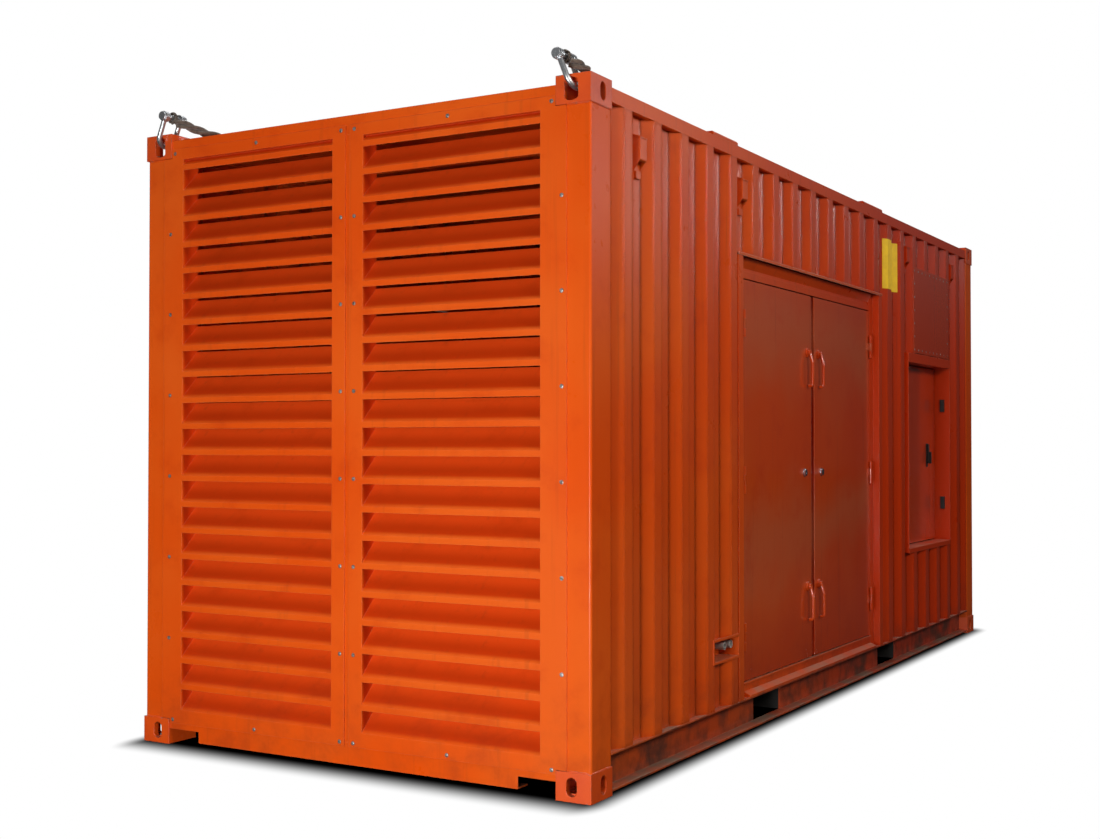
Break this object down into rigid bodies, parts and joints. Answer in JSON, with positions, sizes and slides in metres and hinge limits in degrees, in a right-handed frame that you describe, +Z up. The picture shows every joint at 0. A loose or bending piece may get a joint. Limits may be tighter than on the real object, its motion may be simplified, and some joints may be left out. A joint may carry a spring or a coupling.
{
  "type": "containerised generator set",
  "caption": "Generator enclosure on a container frame: louvred ends, corrugated sides, swinging double doors, control recess, fork pockets and corner castings with lifting shackles.",
  "frame": {"origin": "centre of the footprint, at the underside of the bottom corner castings", "axes": "+X towards the side with the control recess, -Y towards the end nearest the doors, +Z up"},
  "size_m": [2.438, 6.0993, 3.0085],
  "materials": {
    "painted_body": "gloss",
    "floor_plate": "worn",
    "galvanised": "satin",
    "lock_chrome": "polished",
    "black_fittings": "satin",
    "sling_fibre": "worn"
  },
  "bodies": {
    "enclosure": {"corner_posts": "painted_body", "top_castings": "painted_body", "bottom_castings": "painted_body", "end_headers": "painted_body", "end_sills": "painted_body", "centre_posts": "painted_body", "top_rails": "painted_body", "rail_strips": "painted_body", "rail_webs": "painted_body", "fork_pockets": "painted_body", "floor_bearers": "painted_body", "floor_deck": "floor_plate", "roof_sheet": "painted_body", "right_wall_front": "painted_body", "right_wall_over_door": "painted_body", "right_wall_middle": "painted_body", "right_wall_over_control": "painted_body", "right_wall_under_control": "painted_body", "right_wall_rear": "painted_body", "left_wall_front": "painted_body", "left_wall_over_door": "painted_body", "left_wall_rear": "painted_body", "right_door_jambs": "painted_body", "right_door_head": "painted_body", "right_door_threshold": "painted_body", "drip_rails": "painted_body", "left_door_frame": "painted_body", "left_door_leaves": "painted_body", "left_door_levers": "painted_body", "front_louvre_left": "painted_body", "front_louvre_right": "painted_body", "rear_louvre_left": "painted_body", "rear_louvre_right": "painted_body", "side_vents": "painted_body", "outlet_box": "painted_body", "outlet_fittings": "galvanised", "control_recess_sides": "painted_body", "control_recess_sill": "painted_body", "control_recess_hood": "painted_body", "control_catches": "black_fittings", "control_top_panel": "painted_body", "roof_pads": "painted_body", "shackle_bows": "galvanised", "shackle_pins": "galvanised", "sling_eyes": "sling_fibre", "sling_rope": "sling_fibre"},
    "front_leaf": {"right_door_front": "painted_body", "front_leaf_bosses": "painted_body", "front_leaf_lock": "lock_chrome"},
    "rear_leaf": {"right_door_rear": "painted_body", "rear_leaf_bosses": "painted_body", "rear_leaf_lock": "lock_chrome"},
    "front_upper_lever": {"lever_front_upper": "painted_body"},
    "front_lower_lever": {"lever_front_lower": "painted_body"},
    "rear_upper_lever": {"lever_rear_upper": "painted_body"},
    "rear_lower_lever": {"lever_rear_lower": "painted_body"},
    "control_leaf": {"control_door": "painted_body", "control_handle_dish": "black_fittings"},
    "control_lever": {"control_handle": "black_fittings"}
  },
  "joints": [
    {"name": "front_leaf_swing", "type": "hinge", "parent": "enclosure", "child": "front_leaf", "pos_m": [1.185, -1.385, 1.24], "axis": [0, 0, -1], "range_deg": [0, 110]},
    {"name": "rear_leaf_swing", "type": "hinge", "parent": "enclosure", "child": "rear_leaf", "pos_m": [1.185, 0.632, 1.24], "axis": [0, 0, 1], "range_deg": [0, 110]},
    {"name": "control_leaf_swing", "type": "hinge", "parent": "enclosure", "child": "control_leaf", "pos_m": [1.118, 1.35, 1.345], "axis": [0, 0, -1], "range_deg": [0, 90]},
    {"name": "control_lever_turn", "type": "hinge", "parent": "control_leaf", "child": "control_lever", "pos_m": [1.11, 2.155, 1.40096], "axis": [-1, 0, 0], "range_deg": [0, 90]},
    {"name": "front_upper_lever_turn", "type": "hinge", "parent": "front_leaf", "child": "front_upper_lever", "pos_m": [1.175, -0.4645, 1.92], "axis": [-1, 0, 0], "range_deg": [0, 90]},
    {"name": "front_lower_lever_turn", "type": "hinge", "parent": "front_leaf", "child": "front_lower_lever", "pos_m": [1.175, -0.4645, 0.635], "axis": [-1, 0, 0], "range_deg": [0, 90]},
    {"name": "rear_upper_lever_turn", "type": "hinge", "parent": "rear_leaf", "child": "rear_upper_lever", "pos_m": [1.175, -0.2885, 1.92], "axis": [1, 0, 0], "range_deg": [0, 90]},
    {"name": "rear_lower_lever_turn", "type": "hinge", "parent": "rear_leaf", "child": "rear_lower_lever", "pos_m": [1.175, -0.2885, 0.635], "axis": [1, 0, 0], "range_deg": [0, 90]}
  ]
}
